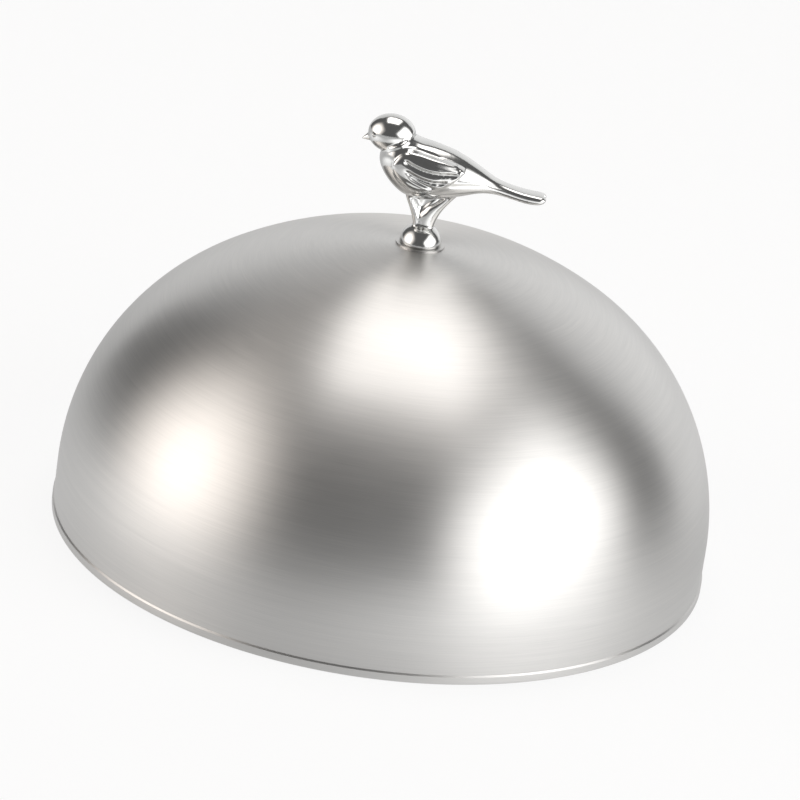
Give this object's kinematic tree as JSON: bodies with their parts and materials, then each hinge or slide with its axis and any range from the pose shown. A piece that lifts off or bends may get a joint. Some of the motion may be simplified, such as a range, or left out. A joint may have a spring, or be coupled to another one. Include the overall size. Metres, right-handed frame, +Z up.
{
  "type": "cheese melting dome",
  "caption": "Brushed steel hemispherical cover with a folded rim and a polished songbird handle, set down over food to melt or keep warm.",
  "frame": {"origin": "centre of the circle on which the rim rests, on the table plane", "axes": "+Z up along the dome's axis, the bird looks along -X, its two sides are +Y and -Y"},
  "size_m": [0.2408, 0.2408, 0.1634],
  "materials": {
    "dome_steel": "satin, brushed in fine rings round the axis",
    "bird_chrome": "mirror-polished plated casting",
    "washer_steel": "bright rolled stainless steel",
    "screw_steel": "plain stainless fastener"
  },
  "bodies": {
    "root": {"dome_shell": "dome_steel", "bird_handle": "bird_chrome", "seat_washer": "washer_steel", "inner_washer": "washer_steel", "lock_washer": "screw_steel", "handle_screw": "screw_steel"}
  },
  "joints": []
}
